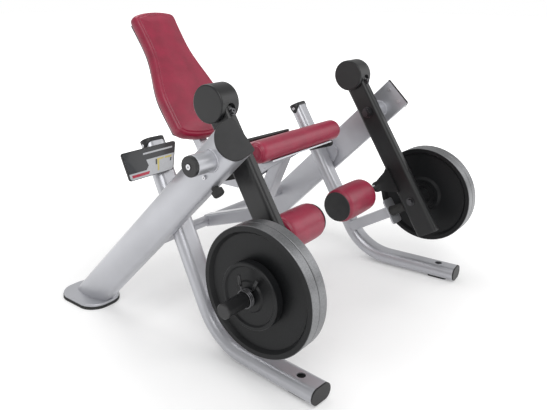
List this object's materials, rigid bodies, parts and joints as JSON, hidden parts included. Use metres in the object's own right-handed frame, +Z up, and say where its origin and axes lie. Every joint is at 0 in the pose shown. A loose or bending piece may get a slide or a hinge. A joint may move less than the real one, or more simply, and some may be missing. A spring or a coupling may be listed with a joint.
{
  "type": "leg extension machine",
  "caption": "Plate-loaded leg extension machine: silver oval-tube frame, burgundy seat and back pad, independent swinging arms with foam rollers, weight horns and counterweights.",
  "frame": {"origin": "on the floor under the middle of the machine's overall box", "axes": "-Y towards the machine's front, where the rollers are; +X to the right as seen from the front; +Z up"},
  "size_m": [1.69, 1.4874, 1.2423],
  "materials": {
    "frame_silver": "silver metallic powder coat",
    "arm_black": "black satin powder coat",
    "plate_iron": "dark charcoal enamel, machined grey rims",
    "black_plastic": "moulded, fine grain",
    "rubber": "matt",
    "bright_steel": "zinc plated, brushed",
    "chrome": "polished",
    "burgundy": "burgundy vinyl upholstery, fine grain, matt sheen",
    "board_black": "black moulded backing",
    "placard_face": "printed polycarbonate, no text"
  },
  "bodies": {
    "frame": {"left_strut": "frame_silver", "left_strut_foot": "frame_silver", "left_pivot_housing": "frame_silver", "left_leg": "frame_silver", "left_stop_bracket": "frame_silver", "right_strut": "frame_silver", "right_strut_foot": "frame_silver", "right_pivot_housing": "frame_silver", "right_leg": "frame_silver", "right_stop_bracket": "frame_silver", "strut_end_caps": "black_plastic", "leg_end_caps": "black_plastic", "rubber_feet": "rubber", "housing_caps": "black_plastic", "stop_bumpers": "rubber", "strut_bumpers": "rubber", "pivot_bearings": "bright_steel", "frame_screws": "bright_steel", "hand_grips": "rubber", "rear_cross_tube": "frame_silver", "seat_post": "frame_silver", "seat_rail": "frame_silver", "seat_board": "board_black", "seat_cushion": "burgundy", "seat_roll": "burgundy", "placard": "placard_face"},
    "left_arm": {"left_arm": "arm_black", "left_arm_end_cap": "black_plastic", "left_arm_fasteners": "bright_steel", "left_counterweight": "arm_black", "left_pivot_shaft": "bright_steel", "left_horn": "arm_black", "left_horn_cap": "black_plastic", "left_roller_shaft": "chrome"},
    "left_roller": {"left_roller": "burgundy", "left_roller_caps": "black_plastic"},
    "left_inner_plate": {"left_inner_plate": "plate_iron"},
    "left_outer_plate": {"left_outer_plate": "plate_iron"},
    "left_small_plate": {"left_small_plate": "plate_iron"},
    "left_collar": {"left_collar": "chrome"},
    "right_arm": {"right_arm": "arm_black", "right_arm_end_cap": "black_plastic", "right_arm_fasteners": "bright_steel", "right_counterweight": "arm_black", "right_pivot_shaft": "bright_steel", "right_horn": "arm_black", "right_horn_cap": "black_plastic", "right_roller_shaft": "chrome"},
    "right_roller": {"right_roller": "burgundy", "right_roller_caps": "black_plastic"},
    "right_inner_plate": {"right_inner_plate": "plate_iron"},
    "right_outer_plate": {"right_outer_plate": "plate_iron"},
    "right_small_plate": {"right_small_plate": "plate_iron"},
    "right_collar": {"right_collar": "chrome"},
    "back_pad": {"back_cushion": "burgundy", "back_board": "board_black", "back_post": "frame_silver"},
    "pull_pin": {"pull_pin": "chrome"}
  },
  "joints": [
    {"name": "left_arm_swing", "type": "hinge", "parent": "frame", "child": "left_arm", "pos_m": [-0.6, -0.2795, 0.77], "axis": [-1, 0, 0], "range_deg": [0, 85]},
    {"name": "left_roller_spin", "type": "hinge", "parent": "left_arm", "child": "left_roller", "pos_m": [-0.2135, -0.34673, 0.41429], "axis": [1, 0, 0], "continuous": true},
    {"name": "left_inner_plate_slide", "type": "slide", "parent": "left_arm", "child": "left_inner_plate", "axis": [-1, 0, 0], "range_m": [0, 0.24]},
    {"name": "left_outer_plate_slide", "type": "slide", "parent": "left_inner_plate", "child": "left_outer_plate", "axis": [-1, 0, 0], "range_m": [0, 0.2]},
    {"name": "left_small_plate_slide", "type": "slide", "parent": "left_outer_plate", "child": "left_small_plate", "axis": [-1, 0, 0], "range_m": [0, 0.16]},
    {"name": "left_collar_slide", "type": "slide", "parent": "left_small_plate", "child": "left_collar", "axis": [-1, 0, 0], "range_m": [0, 0.124]},
    {"name": "right_arm_swing", "type": "hinge", "parent": "frame", "child": "right_arm", "pos_m": [0.6, -0.2795, 0.77], "axis": [-1, 0, 0], "range_deg": [0, 85]},
    {"name": "right_roller_spin", "type": "hinge", "parent": "right_arm", "child": "right_roller", "pos_m": [0.2135, -0.34673, 0.41429], "axis": [1, 0, 0], "continuous": true},
    {"name": "right_inner_plate_slide", "type": "slide", "parent": "right_arm", "child": "right_inner_plate", "axis": [1, 0, 0], "range_m": [0, 0.24]},
    {"name": "right_outer_plate_slide", "type": "slide", "parent": "right_inner_plate", "child": "right_outer_plate", "axis": [1, 0, 0], "range_m": [0, 0.2]},
    {"name": "right_small_plate_slide", "type": "slide", "parent": "right_outer_plate", "child": "right_small_plate", "axis": [1, 0, 0], "range_m": [0, 0.16]},
    {"name": "right_collar_slide", "type": "slide", "parent": "right_small_plate", "child": "right_collar", "axis": [1, 0, 0], "range_m": [0, 0.124]},
    {"name": "back_pad_slide", "type": "slide", "parent": "frame", "child": "back_pad", "axis": [0, 1, 0], "range_m": [0, 0.08]},
    {"name": "pull_pin_slide", "type": "slide", "parent": "frame", "child": "pull_pin", "axis": [1, 0, 0], "range_m": [0, 0.012], "stiffness_N_per_m": 600, "springref_m": -0.004}
  ]
}
